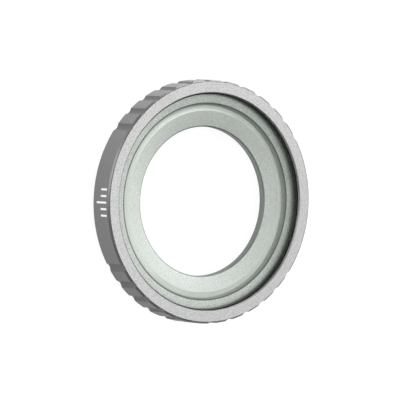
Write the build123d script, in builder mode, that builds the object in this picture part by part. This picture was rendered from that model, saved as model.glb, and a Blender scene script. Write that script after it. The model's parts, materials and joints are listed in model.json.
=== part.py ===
"""Screw in lens filter: a turned aluminium ring with grip notches, and the coated glass bonded in its front.

Millimetres. +Z is the optical axis and points out of the front. The filter lies on the end of its threaded
boss, with the origin at the middle of that end.
"""

import os
from math import sqrt

from build123d import *

# Thread that screws into the lens, and the ring in front of it
thread_diameter = 27.0
thread_length = 1.6
thread_end_chamfer = 0.2
thread_wall = 1.1
shoulder_width = 1.5
ring_height = 3.5
ring_front_chamfer = 0.25
ring_rear_chamfer = 0.16

# Grip notches: two equal arcs, one at +Y and one at -Y
notch_width = 1.1
notch_depth = 0.25
notch_pitch_angle = 10.0
notches_per_arc = 12
arc_centre_angles = (90.0, 270.0)

# Coated glass and its seat in the front of the ring
rim_width = 1.5
rim_inner_chamfer = 0.06
glass_recess = 0.32
glass_thickness = 0.7
glass_edge_bevel = 0.1
glass_clearance = 0.05
seat_width = 1.3

# Steep step behind the glass, then the land that rises to a crest, and the dished web inside it that ends
# at the aperture's chamfered lip
step_width = 0.34
step_depth = 0.65
land_width = 0.66
land_rise = 0.36
dish_width = 1.82
dish_drop = 0.41
lip_chamfer = 0.18
aperture_length = 0.94

# Radii, worked out and in from the thread
thread_radius = thread_diameter / 2
thread_bore_radius = thread_radius - thread_wall
ring_radius = thread_radius + shoulder_width
seat_radius = ring_radius - rim_width
glass_radius = seat_radius - glass_clearance
seat_inner_radius = seat_radius - seat_width
land_radius = seat_inner_radius - step_width
crest_radius = land_radius - land_width
lip_radius = crest_radius - dish_width
aperture_radius = lip_radius - lip_chamfer

# Heights, worked up from the boss to the front face, and down again through the glass and the web
front_z = thread_length + ring_height
seat_z = front_z - glass_recess - glass_thickness
land_z = seat_z - step_depth
crest_z = land_z + land_rise
lip_z = crest_z - dish_drop
aperture_rear_z = lip_z - aperture_length

# The round notch cutter meets the ring's surface at the notch's width and reaches its depth in the middle
notch_chord_depth = notch_depth - ring_radius + sqrt(ring_radius**2 - notch_width**2 / 4)
notch_cutter_radius = (notch_width**2 / 4 + notch_chord_depth**2) / (2 * notch_chord_depth)
notch_cutter_place = ring_radius - notch_depth + notch_cutter_radius
notch_arc_span = (notches_per_arc - 1) * notch_pitch_angle

os.makedirs("parts", exist_ok=True)

# Frame: the turned section, then the grip notches along the whole height of the ring
with BuildPart() as filter_frame:
    with BuildSketch(Plane.XZ):
        with BuildLine():
            Polyline(
                (thread_bore_radius, 0),
                (thread_radius - thread_end_chamfer, 0),
                (thread_radius, thread_end_chamfer),
                (thread_radius, thread_length),
                (ring_radius - ring_rear_chamfer, thread_length),
                (ring_radius, thread_length + ring_rear_chamfer),
                (ring_radius, front_z - ring_front_chamfer),
                (ring_radius - ring_front_chamfer, front_z),
                (seat_radius + rim_inner_chamfer, front_z),
                (seat_radius, front_z - rim_inner_chamfer),
                (seat_radius, seat_z),
                (seat_inner_radius, seat_z),
                (land_radius, land_z),
                (crest_radius, crest_z),
                (lip_radius, lip_z),
                (aperture_radius, lip_z - lip_chamfer),
                (aperture_radius, aperture_rear_z),
                (thread_bore_radius, aperture_rear_z),
                close=True,
            )
        make_face()
    revolve(axis=Axis.Z)

    with BuildSketch(Plane.XY.offset(thread_length)):
        for arc_centre_angle in arc_centre_angles:
            with PolarLocations(
                notch_cutter_place,
                notches_per_arc,
                start_angle=arc_centre_angle - notch_arc_span / 2,
                angular_range=notch_arc_span,
                endpoint=True,
            ):
                Circle(notch_cutter_radius)
    extrude(amount=ring_height, mode=Mode.SUBTRACT)
filter_frame.part.label = "filter_frame"
export_step(filter_frame.part, "parts/filter_frame.step")

# Glass: a flat disc on the seat, with a fine safety bevel on both edges
with BuildPart() as filter_glass:
    with BuildSketch(Plane.XY.offset(seat_z)):
        Circle(glass_radius)
    extrude(amount=glass_thickness)
    chamfer(filter_glass.edges().filter_by(GeomType.CIRCLE), glass_edge_bevel)
filter_glass.part.label = "filter_glass"
export_step(filter_glass.part, "parts/filter_glass.step")
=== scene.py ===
"""Studio scene of a screw in lens filter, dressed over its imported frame.

The filter lies on the end of its threaded boss, with +Z out of the front glass. Sizes are written in
millimetres and degrees, and meshes are made in metres.
"""

import json
import logging
import math
from collections.abc import Iterable, Mapping, Sequence
from dataclasses import dataclass
from enum import Enum
from typing import Any, NamedTuple

import bmesh
import bpy
from mathutils import Matrix, Vector


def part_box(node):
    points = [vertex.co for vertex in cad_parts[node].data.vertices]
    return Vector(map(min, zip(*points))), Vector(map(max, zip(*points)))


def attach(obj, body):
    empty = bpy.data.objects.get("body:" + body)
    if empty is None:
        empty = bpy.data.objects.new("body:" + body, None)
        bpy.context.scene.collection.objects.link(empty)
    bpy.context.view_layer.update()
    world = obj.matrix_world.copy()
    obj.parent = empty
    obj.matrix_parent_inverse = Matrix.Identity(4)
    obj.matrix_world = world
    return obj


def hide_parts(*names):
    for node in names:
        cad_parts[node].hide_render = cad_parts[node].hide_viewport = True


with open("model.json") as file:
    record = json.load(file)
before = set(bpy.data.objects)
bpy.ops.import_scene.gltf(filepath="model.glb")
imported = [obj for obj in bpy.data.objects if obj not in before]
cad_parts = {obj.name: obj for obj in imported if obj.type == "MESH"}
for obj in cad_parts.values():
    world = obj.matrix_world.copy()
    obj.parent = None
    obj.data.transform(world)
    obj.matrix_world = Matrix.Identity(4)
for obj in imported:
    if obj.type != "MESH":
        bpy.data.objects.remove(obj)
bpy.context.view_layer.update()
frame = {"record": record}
LOG = logging.getLogger("lens_filter")
MM = 0.001
BODY = "root"
MERGE_DISTANCE = 1e-4
ANGLE_SLACK = 1e-6
SHARP_ANGLE = 27.0
GLASS_CLEARANCE = 0.05

Colour = tuple[float, float, float]


class Zone(Enum):
    """Surfaces of the filter that differ in finish."""

    REAR = "rear"
    SIDE = "side"
    # Painted shade on the notch walls.
    NOTCH_SHADE = "notch"
    # Painted shade on the step's lower run, a little lighter than its upper run.
    STEP_LOWER_SHADE = "wall"
    EDGE = "edge"
    # Painted dark reflection on a narrow facet along the front edge.
    EDGE_DARK_REFLECTION = "line"
    FRONT = "front"
    BORE = "bore"
    SEAT = "seat"
    # Painted shade on the seat's outer ring, beside the rim wall.
    SEAT_RIM_SHADE = "glue"
    BOND = "bond"
    # Painted light on the land.
    LAND_LIT = "land"
    # Painted shade on the step's upper run.
    STEP_UPPER_SHADE = "step"
    DISH = "dish"
    APERTURE = "aperture"
    GLASS = "glass"
    INK = "ink"
    MARK = "mark"


class SectionPoint(NamedTuple):
    """A corner of a turned section, with the zone of the run that starts there."""

    radius: float
    height: float
    zone: Zone


class Signal:
    """A node socket that takes part in shader arithmetic."""

    def __init__(self, shader: "Shader", socket: bpy.types.NodeSocket) -> None:
        """Keeps the socket and the shader that its maths nodes go to."""
        self.shader = shader
        self.socket = socket

    def _maths(self, operation: str, first: Any, second: Any) -> "Signal":
        """Adds one Math node on two values or signals."""
        return self.shader.node("ShaderNodeMath", {"operation": operation}, {0: first, 1: second})

    def __add__(self, other: Any) -> "Signal":
        """Sum of two signals, or of a signal and a number."""
        return self._maths("ADD", self, other)

    def __radd__(self, other: Any) -> "Signal":
        """Sum with a number on the left."""
        return self._maths("ADD", other, self)

    def __sub__(self, other: Any) -> "Signal":
        """Difference of two signals, or of a signal and a number."""
        return self._maths("SUBTRACT", self, other)

    def __rsub__(self, other: Any) -> "Signal":
        """Difference from a number on the left."""
        return self._maths("SUBTRACT", other, self)

    def __mul__(self, other: Any) -> "Signal":
        """Product of two signals, or of a signal and a number."""
        return self._maths("MULTIPLY", self, other)

    def __rmul__(self, other: Any) -> "Signal":
        """Product with a number on the left."""
        return self._maths("MULTIPLY", other, self)

    def maximum(self, other: Any) -> "Signal":
        """The larger of two signals."""
        return self._maths("MAXIMUM", self, other)


class Shader:
    """A node tree under construction, and the one method that makes its nodes."""

    def __init__(self, owner: bpy.types.Material | bpy.types.World) -> None:
        """Clears the owner's node tree, ready for new nodes."""
        owner.use_nodes = True
        self.tree = owner.node_tree
        self.tree.nodes.clear()

    def node(
        self,
        kind: str,
        settings: Mapping[str, Any] | None = None,
        sockets: Mapping[str | int, Any] | None = None,
        output: str | int = 0,
    ) -> Signal:
        """Makes one node.

        Args:
            kind: The node's Blender type.
            settings: The node's own options, which are set first.
            sockets: Values or signals by the socket's place, name or identifier.
            output: The place, name or identifier of the output that is wanted.

        Returns:
            The wanted output as a signal.
        """
        made = self.tree.nodes.new(kind)
        for option, value in (settings or {}).items():
            setattr(made, option, value)
        for key, value in (sockets or {}).items():
            socket = self._pick(made.inputs, key)
            if isinstance(value, Signal):
                self.tree.links.new(value.socket, socket)
            else:
                socket.default_value = value
        return Signal(self, self._pick(made.outputs, output))

    @staticmethod
    def _pick(sockets: Any, key: str | int) -> bpy.types.NodeSocket:
        """Finds a socket.

        Args:
            sockets: A node's inputs or outputs.
            key: The socket's place, identifier or name.

        Returns:
            The socket.
        """
        if isinstance(key, int):
            return sockets[key]
        matches = [s for s in sockets if s.identifier == key] or [s for s in sockets if s.name == key]
        return matches[0]

    def blend(self, factor: Any, low: Any, high: Any) -> Signal:
        """Mixes two colours.

        Args:
            factor: Share of the second colour.
            low: The colour at a factor of 0.
            high: The colour at a factor of 1.

        Returns:
            The mixed colour.
        """
        return self.node(
            "ShaderNodeMix",
            {"data_type": "RGBA"},
            {"Factor_Float": factor, "A_Color": low, "B_Color": high},
            output="Result_Color",
        )

    def noise(self, size: float, detail: float = 2.0, roughness: float = 0.5) -> Signal:
        """Adds noise that is fixed to the object.

        Args:
            size: The size of its features in millimetres.
            detail: The number of finer layers.
            roughness: The weight of the finer layers.

        Returns:
            The noise, from 0 to 1.
        """
        place = self.node("ShaderNodeTexCoord", output="Object")
        return self.node(
            "ShaderNodeTexNoise",
            sockets={"Vector": place, "Scale": 1 / (size * MM), "Detail": detail, "Roughness": roughness},
        )

    def surface(self, shader: Signal, kind: str = "ShaderNodeOutputMaterial") -> None:
        """Links a finished shader to the tree's output node."""
        output = self.tree.nodes.new(kind)
        self.tree.links.new(shader.socket, output.inputs["Surface"])


def solid(colour: Colour, scale: float = 1.0) -> tuple[float, float, float, float]:
    """A scaled opaque colour, as sockets take it."""
    return (*(channel * scale for channel in colour), 1.0)


@dataclass(frozen=True)
class BlastedMetal:
    """Sandblasted and anodised aluminium, with a fine matt grain and a faint cloudiness."""

    name: str
    tone: Colour
    roughness: float
    metallic: float = 1.0
    grain: float = 0.13
    grain_contrast: float = 0.16
    grain_height: float = 0.004
    grain_detail: float = 1.0
    grain_roughness: float = 0.6
    gloss_spread: float = 0.12
    cloud: float = 2.6
    cloud_contrast: float = 0.03

    def material(self) -> bpy.types.Material:
        """Builds the finish.

        Returns:
            The new material.
        """
        made = bpy.data.materials.new(self.name)
        shader = Shader(made)
        grain = shader.noise(self.grain, self.grain_detail, self.grain_roughness)
        cloud = shader.noise(self.cloud)
        speckle = (grain - 0.5) * (2.0 * self.grain_contrast)
        mottle = (cloud - 0.5) * (2.0 * self.cloud_contrast)
        spread = self.grain_contrast + self.cloud_contrast
        share = (speckle + mottle) * (0.5 / spread) + 0.5
        colour = shader.blend(share, solid(self.tone, 1 - spread), solid(self.tone, 1 + spread))
        bump = shader.node(
            "ShaderNodeBump",
            sockets={"Strength": 1.0, "Distance": self.grain_height * MM, "Height": grain},
        )
        shader.surface(
            shader.node(
                "ShaderNodeBsdfPrincipled",
                sockets={
                    "Base Color": colour,
                    "Metallic": self.metallic,
                    "Roughness": self.roughness + (grain - 0.5) * self.gloss_spread,
                    "Normal": bump,
                },
            )
        )
        return made


@dataclass(frozen=True)
class CoatedGlass:
    """Clear glass whose coating throws back a little green light."""

    name: str = "coated_glass"
    clear: Colour = (1.0, 1.0, 1.0)
    reflection: Colour = (0.5, 0.8, 0.55)
    index: float = 1.52
    strength: float = 0.35
    roughness: float = 0.02

    def material(self) -> bpy.types.Material:
        """Builds the glass.

        Returns:
            The new material.
        """
        made = bpy.data.materials.new(self.name)
        shader = Shader(made)
        fresnel = shader.node("ShaderNodeFresnel", sockets={"IOR": self.index})
        inside = shader.node("ShaderNodeNewGeometry", output="Backfacing")
        through = shader.node("ShaderNodeBsdfTransparent", sockets={"Color": solid(self.clear)})
        gloss = shader.node(
            "ShaderNodeBsdfPrincipled",
            sockets={
                "Base Color": solid(self.reflection),
                "Metallic": 1.0,
                "Roughness": self.roughness,
            },
        )
        shader.surface(
            shader.node(
                "ShaderNodeMixShader",
                sockets={0: fresnel * self.strength * (1 - inside), 1: through, 2: gloss},
            )
        )
        return made


@dataclass(frozen=True)
class PlainCoat:
    """A thin flat coat, a little uneven in tone and gloss: ink or paint, and also the painted dark
    reflection along the front edge.
    """

    name: str
    tone: Colour
    roughness: float
    gloss: float = 0.2
    gloss_spread: float = 0.2
    grain: float = 0.2
    contrast: float = 0.08

    def material(self) -> bpy.types.Material:
        """Builds the coat.

        Returns:
            The new material.
        """
        made = bpy.data.materials.new(self.name)
        shader = Shader(made)
        grain = shader.noise(self.grain)
        low = solid(self.tone, 1 - self.contrast)
        high = solid(self.tone, 1 + self.contrast)
        colour = shader.blend(grain, low, high)
        shader.surface(
            shader.node(
                "ShaderNodeBsdfPrincipled",
                sockets={
                    "Base Color": colour,
                    "Roughness": self.roughness + (grain - 0.5) * self.gloss_spread,
                    "Specular IOR Level": self.gloss,
                },
            )
        )
        return made


@dataclass(frozen=True)
class StudioPaper:
    """White floor that the camera, gloss and glass see as white, with a faint soft shadow of the object."""

    name: str = "studio_paper"
    tone: Colour = (0.42, 0.42, 0.42)
    glow: float = 0.94
    shadow_share: float = 0.15

    def material(self) -> bpy.types.Material:
        """Builds the floor's finish.

        Returns:
            The new material.
        """
        made = bpy.data.materials.new(self.name)
        shader = Shader(made)
        camera = shader.node("ShaderNodeLightPath", output="Is Camera Ray")
        gloss = shader.node("ShaderNodeLightPath", output="Is Glossy Ray")
        glass = shader.node("ShaderNodeLightPath", output="Is Transmission Ray")
        below = shader.node("ShaderNodeNewGeometry", output="Backfacing")
        matt = shader.node("ShaderNodeBsdfDiffuse", sockets={"Color": solid(self.tone)})
        glow = shader.node("ShaderNodeEmission", sockets={"Color": solid((1, 1, 1), self.glow)})
        faint = shader.node(
            "ShaderNodeBsdfDiffuse", sockets={"Color": solid((1, 1, 1), self.shadow_share)}
        )
        white = shader.node("ShaderNodeAddShader", sockets={0: glow, 1: faint})
        seen = camera.maximum(gloss).maximum(glass)
        paper = shader.node("ShaderNodeMixShader", sockets={0: seen, 1: matt, 2: white})
        clear = shader.node("ShaderNodeBsdfTransparent")
        shader.surface(shader.node("ShaderNodeMixShader", sockets={0: below, 1: paper, 2: clear}))
        return made


FINISHES: dict[Zone, Any] = {
    Zone.REAR: BlastedMetal("rear_metal", (0.2, 0.2, 0.2), 0.5, metallic=0.6),
    Zone.SIDE: BlastedMetal("side_metal", (0.28, 0.28, 0.28), 0.5, metallic=0.0),
    # Painted shade: the notch walls are a darker copy of the side metal, for the shade that falls in the
    # notches.
    Zone.NOTCH_SHADE: BlastedMetal("notch_metal", (0.19, 0.19, 0.19), 0.5, metallic=0.0),
    Zone.EDGE: BlastedMetal("edge_metal", (0.22, 0.22, 0.22), 0.4, metallic=0.6),
    # Painted reflection: a near-black coat on the facet next to the front face, standing in for the dark
    # reflection along the front edge.
    Zone.EDGE_DARK_REFLECTION: PlainCoat("edge_line", (0.06, 0.06, 0.06), 0.5),
    Zone.FRONT: BlastedMetal("front_metal", (0.68, 0.68, 0.68), 0.55, grain_contrast=0.5),
    Zone.BORE: BlastedMetal("bore_metal", (0.66, 0.66, 0.66), 0.5),
    # The slight green in the seat, bond, land, step, dish and aperture tones is a painted reflection of the
    # glass's green coating, seen through the glass, on top of the glass's own green reflection.
    Zone.SEAT: BlastedMetal("seat_metal", (0.63, 0.66, 0.63), 0.55, grain_contrast=0.5),
    # Painted shade: a darker copy of the seat metal on the seat's outer ring, where the rim wall shades it.
    Zone.SEAT_RIM_SHADE: BlastedMetal("glue_metal", (0.36, 0.38, 0.36), 0.55, grain_contrast=0.3),
    Zone.BOND: PlainCoat("bond_line", (0.115, 0.131, 0.115), 0.5),
    # Painted light: the land is a lighter copy of the ledge metal, for the light it catches and the bright
    # line at the crest.
    Zone.LAND_LIT: BlastedMetal("land_metal", (0.85, 0.9, 0.85), 0.55, metallic=0.2, grain_contrast=0.1),
    # Painted shade: the step's upper and lower runs are dark copies of the ledge metal, the lower one a
    # little lighter where light from the land falls back on it.
    Zone.STEP_UPPER_SHADE: BlastedMetal("step_metal", (0.22, 0.238, 0.22), 0.6, metallic=0.0),
    Zone.STEP_LOWER_SHADE: BlastedMetal("wall_metal", (0.29, 0.305, 0.29), 0.6, metallic=0.0),
    Zone.DISH: BlastedMetal("dish_metal", (0.69, 0.725, 0.69), 0.55, grain_contrast=0.35),
    Zone.APERTURE: BlastedMetal("aperture_metal", (0.22, 0.235, 0.22), 0.5),
    Zone.GLASS: CoatedGlass(),
    Zone.INK: PlainCoat("edge_ink", (0.014, 0.015, 0.0125), 0.45),
    Zone.MARK: BlastedMetal("mark_metal", (0.92, 0.92, 0.92), 0.45),
}


def placed(name: str, data: bpy.types.ID) -> bpy.types.Object:
    """Adds an object to the scene.

    Args:
        name: The object's name.
        data: Its mesh, light or camera.

    Returns:
        The new object.
    """
    made = bpy.data.objects.new(name, data)
    bpy.context.scene.collection.objects.link(made)
    return made


def round_corner(
    before: Sequence[float], corner: Sequence[float], after: Sequence[float], radius: float, steps: int = 5
) -> list[tuple[float, float]]:
    """Rounds one corner of a section.

    Args:
        before: The point before the corner, as a radius and a height.
        corner: The corner.
        after: The point after it.
        radius: The round's radius.
        steps: The number of straight runs along the round.

    Returns:
        The round's points, from its start to its end.
    """
    middle = Vector(corner)
    back, ahead = (Vector(before) - middle).normalized(), (Vector(after) - middle).normalized()
    half = back.angle(ahead) / 2
    centre = middle + (back + ahead).normalized() * (radius / math.sin(half))
    start = middle + back * (radius / math.tan(half)) - centre
    sweep = math.copysign(math.pi - 2 * half, back.cross(ahead) * -1.0)
    return [tuple(centre + Matrix.Rotation(sweep * step / steps, 2) @ start) for step in range(steps + 1)]


def turned_piece(
    name: str, angles: Sequence[float], sections: Iterable[Sequence[SectionPoint]], closed: bool
) -> bpy.types.Object:
    """Makes a piece by joining the same section at one angle after another.

    Args:
        name: The piece's name.
        angles: The sections' angles in degrees, from 0 to 360 with both ends.
        sections: One section for each angle, all with as many points.
        closed: True where a section's last point joins its first.

    Returns:
        The new object, smooth apart from its sharp edges, with one material slot for each zone.
    """
    mesh = bpy.data.meshes.new(name)
    form = bmesh.new()
    columns = list(sections)
    zones = sorted({point.zone for section in columns for point in section}, key=lambda zone: zone.value)
    rows = []
    for angle, section in zip(angles, columns):
        cosine, sine = math.cos(math.radians(angle)), math.sin(math.radians(angle))
        rows.append([form.verts.new((p.radius * cosine, p.radius * sine, p.height)) for p in section])
    runs = len(rows[0]) if closed else len(rows[0]) - 1
    for here, there, section in zip(rows, rows[1:], columns):
        for run in range(runs):
            after = (run + 1) % len(here)
            face = form.faces.new((here[run], there[run], there[after], here[after]))
            face.material_index = zones.index(section[run].zone)
            face.smooth = True
    bmesh.ops.remove_doubles(form, verts=form.verts[:], dist=MERGE_DISTANCE)
    bmesh.ops.scale(form, vec=(MM, MM, MM), verts=form.verts[:])
    form.to_mesh(mesh)
    form.free()
    mesh.set_sharp_from_angle(angle=math.radians(SHARP_ANGLE))
    for zone in zones:
        mesh.materials.append(FINISHES[zone].material())
    return placed(name, mesh)


@dataclass
class GripNotches:
    """Round notches cut along the ring in two equal arcs."""

    ring_radius: float
    width: float = 1.1
    depth: float = 0.25
    pitch: float = 10.0
    per_arc: int = 12
    arc_centres: tuple[float, float] = (90.0, 270.0)
    columns_each_side: int = 7
    plain_step: float = 1.5

    def __post_init__(self) -> None:
        """Works out the round cutter from the notch's width and depth."""
        chord = self.depth - self.ring_radius + math.sqrt(self.ring_radius**2 - self.width**2 / 4)
        self.cutter_radius = (self.width**2 / 4 + chord**2) / (2 * chord)
        self.cutter_place = self.ring_radius - self.depth + self.cutter_radius
        self.half_angle = math.degrees(math.asin(self.width / 2 / self.ring_radius))
        middle = (self.per_arc - 1) / 2
        self.centres = [
            arc + (index - middle) * self.pitch for arc in self.arc_centres for index in range(self.per_arc)
        ]

    def radius_at(self, angle: float) -> float:
        """Outside radius of the notched ring.

        Args:
            angle: Angle about the axis in degrees.

        Returns:
            The radius in millimetres.
        """
        offset = min(abs((angle - centre + 180.0) % 360.0 - 180.0) for centre in self.centres)
        if offset >= self.half_angle:
            return self.ring_radius
        turn = math.radians(offset)
        reach = math.sqrt(self.cutter_radius**2 - (self.cutter_place * math.sin(turn)) ** 2)
        return min(self.ring_radius, self.cutter_place * math.cos(turn) - reach)

    def wall_at(self, angle: float) -> bool:
        """True where the span that starts at an angle is a notch's wall."""
        starts = (centre - self.half_angle - ANGLE_SLACK for centre in self.centres)
        return any((angle - start) % 360.0 < 2 * self.half_angle for start in starts)

    def columns(self) -> list[float]:
        """Angles that follow the notches closely and the plain spans more widely.

        Returns:
            Angles in degrees from 0 to 360, both ends among them.
        """
        marks = {0.0, 360.0}
        for centre in self.centres:
            for step in range(-self.columns_each_side, self.columns_each_side + 1):
                marks.add(centre + self.half_angle * step / self.columns_each_side)
        ordered = sorted(marks)
        angles = []
        for start, end in zip(ordered, ordered[1:]):
            pieces = max(1, math.ceil((end - start) / self.plain_step))
            angles.extend(start + (end - start) * piece / pieces for piece in range(pieces))
        return [*angles, 360.0]


@dataclass
class LensThread:
    """Right-hand outside thread on the boss, with a chamfered start and a relief groove at the shoulder."""

    radius: float
    length: float
    pitch: float = 0.5
    end_chamfer: float = 0.2
    relief: float = 0.22
    crest_share: float = 1 / 8
    root_share: float = 1 / 4
    flank_angle: float = 30.0
    flank_steps: int = 3

    def __post_init__(self) -> None:
        """Works out the basic thread form from the pitch."""
        self.crest = self.pitch * self.crest_share
        self.root = self.pitch * self.root_share
        self.flank = (self.pitch - self.crest - self.root) / 2
        self.depth = self.flank / math.tan(math.radians(self.flank_angle))

    def _marks(self) -> list[float]:
        """Works out where along one pitch the thread's form has a point.

        Returns:
            Heights from the start of a crest.
        """
        steps = [self.flank * step / self.flank_steps for step in range(self.flank_steps)]
        foot = self.crest + self.flank
        falling = [self.crest + step for step in steps]
        rising = [foot + self.root + step for step in steps]
        return [0.0, *falling, foot, *rising]

    def _cut(self, along: float) -> float:
        """Depth of the thread's form.

        Args:
            along: Height from the start of a crest, within one pitch.

        Returns:
            The depth below the crest.
        """
        foot = self.crest + self.flank
        if along <= self.crest:
            return 0.0
        if along <= foot:
            return self.depth * (along - self.crest) / self.flank
        if along <= foot + self.root:
            return self.depth
        return self.depth * (self.pitch - along) / self.flank

    def section(self, angle: float) -> list[SectionPoint]:
        """The boss's outside at one angle, from its end up to the shoulder.

        Args:
            angle: Angle about the axis in degrees.

        Returns:
            As many points at every angle, with those that fall outside the thread gathered at its ends.
        """
        lead = self.pitch * angle / 360.0
        top = self.length - self.relief
        points = []
        for turn in range(-1, math.ceil(self.length / self.pitch) + 1):
            for mark in self._marks():
                height = min(max(turn * self.pitch + mark + lead, 0.0), top)
                along = (height - lead) % self.pitch
                outside = self.radius - self.end_chamfer + height
                points.append(
                    SectionPoint(min(self.radius - self._cut(along), outside), height, Zone.REAR)
                )
        groove = self.radius - self.depth
        return [*points, SectionPoint(groove, top, Zone.REAR), SectionPoint(groove, self.length, Zone.REAR)]


@dataclass
class FilterFrame:
    """The turned aluminium ring: notched grip, front rim, glass seat, dished web and threaded boss."""

    ring_radius: float
    front_z: float
    seat_radius: float
    seat_z: float
    thread_radius: float
    thread_length: float = 1.6
    thread_wall: float = 1.1
    front_chamfer_width: float = 0.24
    front_chamfer_length: float = 0.24
    # Shares of the front chamfer's width and length on the facet that carries the painted dark reflection.
    dark_reflection_share: float = 0.28
    dark_reflection_drop_share: float = 0.16
    rear_chamfer: float = 0.16
    edge_break: float = 0.04
    rim_inner_chamfer: float = 0.12
    lip_width: float = 0.1
    lip_height: float = 0.3
    seat_width: float = 1.3
    bond_width: float = 0.17
    # Width of the painted shade on the seat's outer ring.
    seat_rim_shade_width: float = 0.34
    bond_depth: float = 0.05
    step_width: float = 0.34
    step_depth: float = 0.65
    # Where along the step the darker painted shade of its upper run gives way to the lighter one of its
    # lower run.
    step_share: float = 0.55
    land_width: float = 0.66
    land_rise: float = 0.36
    dish_width: float = 1.82
    dish_drop: float = 0.41
    lip_round: float = 0.18
    aperture_length: float = 0.94

    def __post_init__(self) -> None:
        """Sets up the notches and the thread on the ring's own sizes."""
        self.notches = GripNotches(self.ring_radius)
        self.thread = LensThread(self.thread_radius, self.thread_length)

    def _chamfer(self, radius: float, width: float, length: float) -> tuple[float, float]:
        """Cuts a coaxial chamfer of the ring down where a notch takes some of it away.

        Args:
            radius: The outside radius there.
            width: The chamfer's width on the plain ring.
            length: Its length along the axis there.

        Returns:
            The width and length that are left.
        """
        left = max(0.0, radius - self.ring_radius + width)
        return max(self.edge_break, left), max(self.edge_break, length * left / width)

    def _outside(self, angle: float) -> list[SectionPoint]:
        """The grip ring's outside at one angle.

        Args:
            angle: Angle about the axis in degrees.

        Returns:
            Points from the shoulder to the front face.
        """
        radius = self.notches.radius_at(angle)
        # Notch walls take the darker copy of the side metal: painted shade.
        side = Zone.NOTCH_SHADE if self.notches.wall_at(angle) else Zone.SIDE
        rear_width, rear_length = self._chamfer(radius, self.rear_chamfer, self.rear_chamfer)
        width, length = self._chamfer(radius, self.front_chamfer_width, self.front_chamfer_length)
        return [
            SectionPoint(radius - rear_width, self.thread_length, Zone.EDGE),
            SectionPoint(radius, self.thread_length + rear_length, side),
            SectionPoint(radius, self.front_z - length, Zone.EDGE),
            # This facet carries the painted dark reflection along the front edge.
            SectionPoint(
                radius - width * (1 - self.dark_reflection_share),
                self.front_z - length * self.dark_reflection_drop_share,
                Zone.EDGE_DARK_REFLECTION,
            ),
            SectionPoint(radius - width, self.front_z, Zone.FRONT),
        ]

    def _inside(self) -> list[SectionPoint]:
        """The rim, seat, step, dish, aperture and rear bore, which are the same at every angle.

        Returns:
            Points from the front face to the boss's end.
        """
        bore = self.thread_radius - self.thread_wall
        rim = self.seat_radius - self.lip_width
        seat_inner = self.seat_radius - self.seat_width
        brow = Vector((seat_inner - self.bond_width, self.seat_z - self.bond_depth))
        foot = Vector((seat_inner - self.step_width, self.seat_z - self.step_depth))
        crest = foot + Vector((-self.land_width, self.land_rise))
        aperture = crest.x - self.dish_width - self.lip_round
        lip_z = crest.y - self.dish_drop
        rear_z = lip_z - self.aperture_length
        brk = self.edge_break
        lip = round_corner(crest, (aperture, lip_z), (aperture, rear_z), self.lip_round)
        return [
            SectionPoint(rim + self.rim_inner_chamfer, self.front_z, Zone.EDGE),
            SectionPoint(rim, self.front_z - self.rim_inner_chamfer, Zone.BORE),
            SectionPoint(rim, self.front_z - self.lip_height, Zone.BORE),
            SectionPoint(self.seat_radius, self.front_z - self.lip_height, Zone.BORE),
            # The seat's outer ring next to the rim wall is painted in shade.
            SectionPoint(self.seat_radius, self.seat_z, Zone.SEAT_RIM_SHADE),
            SectionPoint(self.seat_radius - self.seat_rim_shade_width, self.seat_z, Zone.SEAT),
            SectionPoint(seat_inner, self.seat_z, Zone.BOND),
            # The step is painted in shade, darker on its upper run than on its lower run.
            SectionPoint(*brow, Zone.STEP_UPPER_SHADE),
            SectionPoint(*brow.lerp(foot, self.step_share), Zone.STEP_LOWER_SHADE),
            # The land between the step's foot and the crest carries painted light.
            SectionPoint(*foot, Zone.LAND_LIT),
            SectionPoint(*crest, Zone.DISH),
            *(SectionPoint(radius, height, Zone.APERTURE) for radius, height in lip),
            SectionPoint(aperture, rear_z + brk, Zone.APERTURE),
            SectionPoint(aperture + brk, rear_z, Zone.REAR),
            SectionPoint(bore, rear_z, Zone.REAR),
            SectionPoint(bore, brk, Zone.REAR),
            SectionPoint(bore + brk, 0.0, Zone.REAR),
        ]

    def build(self) -> bpy.types.Object:
        """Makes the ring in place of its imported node.

        Returns:
            The ring.
        """
        angles = self.notches.columns()
        inside = self._inside()
        sections = [[*self.thread.section(a), *self._outside(a), *inside] for a in angles]
        ring = turned_piece("turned_ring", angles, sections, closed=True)
        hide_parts("filter_frame")
        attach(ring, BODY)
        return ring


@dataclass
class FilterGlass:
    """The flat coated glass, with its edge and a narrow margin of its front blackened."""

    radius: float
    rear_z: float
    front_z: float
    bevel: float = 0.1
    bond: float = 0.02
    margin: float = 0.195
    columns: int = 240

    def build(self) -> bpy.types.Object:
        """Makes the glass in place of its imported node, on a thin bond line.

        Returns:
            The glass.
        """
        rear = self.rear_z + self.bond
        section = [
            SectionPoint(0.0, rear, Zone.GLASS),
            SectionPoint(self.radius - self.bevel, rear, Zone.INK),
            SectionPoint(self.radius, rear + self.bevel, Zone.INK),
            SectionPoint(self.radius, self.front_z - self.bevel, Zone.INK),
            SectionPoint(self.radius - self.bevel, self.front_z, Zone.INK),
            SectionPoint(self.radius - self.margin, self.front_z, Zone.GLASS),
            SectionPoint(0.0, self.front_z, Zone.GLASS),
        ]
        angles = [360.0 * column / self.columns for column in range(self.columns + 1)]
        glass = turned_piece("coated_disc", angles, [section] * len(angles), closed=False)
        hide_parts("filter_glass")
        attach(glass, BODY)
        return glass


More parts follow.
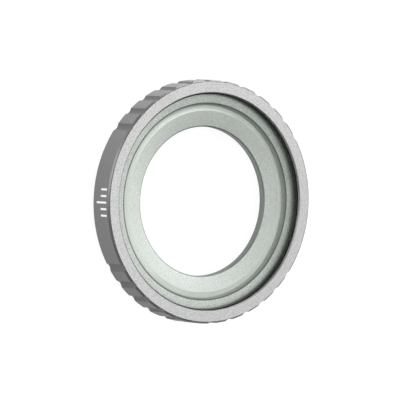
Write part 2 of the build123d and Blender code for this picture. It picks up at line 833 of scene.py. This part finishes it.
@dataclass
class IndexMark:
    """A short painted index scale on the side: plain ticks, with a longer one in the middle."""

    ring_radius: float
    rear_z: float
    rise: float = 1.95
    middle_angle: float = 182.7
    height: float = 2.09
    short_height: float = 1.25
    pitch: float = 0.8
    ticks_each_side: int = 2
    stroke: float = 0.24
    coat: float = 0.012
    sunk: float = 0.03

    def _on_side(self, along: float, up: float, radius: float) -> Vector:
        """Wraps a point of the scale on the ring's side."""
        turn = math.radians(self.middle_angle) + along / self.ring_radius
        return Vector((radius * math.cos(turn), radius * math.sin(turn), self.rear_z + self.rise + up))

    def _tick(self, index: int) -> list[Vector]:
        """Corners of one tick, counted from the middle of the scale.

        Args:
            index: The tick's place, 0 for the long one.

        Returns:
            The eight corners of the coat of paint.
        """
        top = self.height / 2
        foot = top - (self.short_height if index else self.height)
        sides = (index * self.pitch - self.stroke / 2, index * self.pitch + self.stroke / 2)
        levels = (self.ring_radius - self.sunk, self.ring_radius + self.coat)
        return [self._on_side(side, up, level) for level in levels for side in sides for up in (foot, top)]

    def build(self) -> bpy.types.Object:
        """Makes the ticks as thin coats of paint on the side.

        Returns:
            The ticks as one piece.
        """
        mesh = bpy.data.meshes.new("index_mark")
        form = bmesh.new()
        for index in range(-self.ticks_each_side, self.ticks_each_side + 1):
            corners = [form.verts.new(corner) for corner in self._tick(index)]
            bmesh.ops.convex_hull(form, input=corners)
        bmesh.ops.recalc_face_normals(form, faces=form.faces[:])
        bmesh.ops.scale(form, vec=(MM, MM, MM), verts=form.verts[:])
        form.to_mesh(mesh)
        form.free()
        mesh.materials.append(FINISHES[Zone.MARK].material())
        mark = placed("index_mark", mesh)
        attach(mark, BODY)
        return mark


@dataclass
class PhotoCamera:
    """A long lens that looks down on the front from the -X side, as the photograph does."""

    target_z: float
    tilt: float = 34.43
    roll: float = -3.69
    turn: float = 0.8
    distance: float = 616.2
    pixels_per_mm: float = 8.137
    image_size: int = 400
    centre_pixel: tuple[float, float] = (210.03, 201.39)
    sensor: float = 36.0
    clip_start: float = 20.0
    clip_end: float = 20000.0

    def build(self) -> bpy.types.Object:
        """Makes the scene's camera.

        Returns:
            The camera.
        """
        tilt, roll, turn = (math.radians(angle) for angle in (self.tilt, self.roll, self.turn))
        across = Vector((math.cos(turn), -math.sin(turn), 0.0))
        side = Vector((math.sin(turn), math.cos(turn), 0.0))
        axis = Vector((0.0, 0.0, 1.0))
        flat = across * math.cos(tilt) + axis * math.sin(tilt)
        back = axis * math.cos(tilt) - across * math.sin(tilt)
        right = flat * math.cos(roll) - side * math.sin(roll)
        up = flat * math.sin(roll) + side * math.cos(roll)
        middle = (self.image_size - 1) / 2
        sideways = (self.centre_pixel[0] - middle) / self.pixels_per_mm
        down = (self.centre_pixel[1] - middle) / self.pixels_per_mm
        place = axis * self.target_z + back * self.distance - right * sideways + up * down
        data = bpy.data.cameras.new("photo_camera")
        data.sensor_width = self.sensor
        data.lens = self.sensor * self.pixels_per_mm * self.distance / self.image_size
        data.clip_start = self.clip_start * MM
        data.clip_end = self.clip_end * MM
        camera = placed("photo_camera", data)
        turned = Matrix((right, up, back)).transposed().to_4x4()
        camera.matrix_world = Matrix.Translation(place * MM) @ turned
        bpy.context.scene.camera = camera
        return camera


@dataclass(frozen=True)
class Softbox:
    """A square area light that faces the filter."""

    name: str
    azimuth: float
    elevation: float
    power: float
    distance: float = 260.0
    size: float = 160.0

    def build(self) -> bpy.types.Object:
        """Places the light.

        Returns:
            The light.
        """
        azimuth, elevation = math.radians(self.azimuth), math.radians(self.elevation)
        aim = Vector(
            (
                math.cos(elevation) * math.cos(azimuth),
                math.cos(elevation) * math.sin(azimuth),
                math.sin(elevation),
            )
        )
        data = bpy.data.lights.new(self.name, "AREA")
        data.size = self.size * MM
        data.energy = self.power
        light = placed(self.name, data)
        light.location = aim * self.distance * MM
        light.rotation_mode = "QUATERNION"
        light.rotation_quaternion = aim.to_track_quat("Z", "Y")
        light.visible_camera = False
        return light


@dataclass
class Studio:
    """The white floor, the soft lights and the dim surroundings."""

    floor_size: float = 6000.0
    surround: float = 0.02
    lights: tuple[Softbox, ...] = (
        Softbox("upper_right_light", 45.0, 15.0, 0.42),
        Softbox("right_light", 0.0, 15.0, 0.12),
        Softbox("glass_card", 0.0, 47.0, 0.081),
        Softbox("lower_right_light", 315.0, 15.0, 0.04),
        Softbox("high_light", 45.0, 60.0, 0.033),
        Softbox("overhead_light", 0.0, 80.0, 0.031),
        Softbox("near_top_light", 135.0, 60.0, 0.009, distance=80.0, size=50.0),
        Softbox("near_bottom_light", 240.0, 60.0, 0.018, distance=80.0, size=50.0),
        Softbox("side_light", 74.0, 14.0, 0.049, distance=90.0, size=70.0),
        Softbox("edge_light", 160.0, 29.0, 0.27, size=150.0),
    )

    def build(self) -> None:
        """Makes the floor, the lights and the world."""
        half = self.floor_size / 2 * MM
        mesh = bpy.data.meshes.new("floor")
        corners = [(-half, -half, 0.0), (half, -half, 0.0), (half, half, 0.0), (-half, half, 0.0)]
        mesh.from_pydata(corners, [], [(0, 1, 2, 3)])
        mesh.materials.append(StudioPaper().material())
        floor = placed("floor", mesh)
        for light in self.lights:
            light.build()
        world = bpy.data.worlds.new("studio")
        shader = Shader(world)
        glow = shader.node("ShaderNodeBackground", sockets={"Color": solid((1, 1, 1), self.surround)})
        shader.surface(glow, "ShaderNodeOutputWorld")
        bpy.context.scene.world = world
        bpy.context.scene.view_settings.view_transform = "Standard"


def main() -> None:
    """Builds the filter, the camera and the studio, and reports each piece."""
    logging.basicConfig(level=logging.INFO, format="%(name)s: %(message)s")
    frame_low, frame_high = (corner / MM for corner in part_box("filter_frame"))
    glass_low, glass_high = (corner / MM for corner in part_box("filter_glass"))
    mounts = {mount["name"]: mount for mount in frame["record"]["mounts"]}
    PhotoCamera(target_z=frame_high.z).build()
    pieces = (
        FilterFrame(
            ring_radius=frame_high.x,
            front_z=frame_high.z,
            seat_radius=glass_high.x + GLASS_CLEARANCE,
            seat_z=glass_low.z,
            thread_radius=mounts["lens_thread"]["dims"]["r_mm"],
        ),
        FilterGlass(radius=glass_high.x, rear_z=glass_low.z, front_z=glass_high.z),
        IndexMark(ring_radius=frame_high.x, rear_z=FilterFrame.thread_length),
    )
    for piece in pieces:
        made = piece.build()
        LOG.info("%s: %d faces", made.name, len(made.data.polygons))
    Studio().build()


if __name__ == "__main__":
    main()
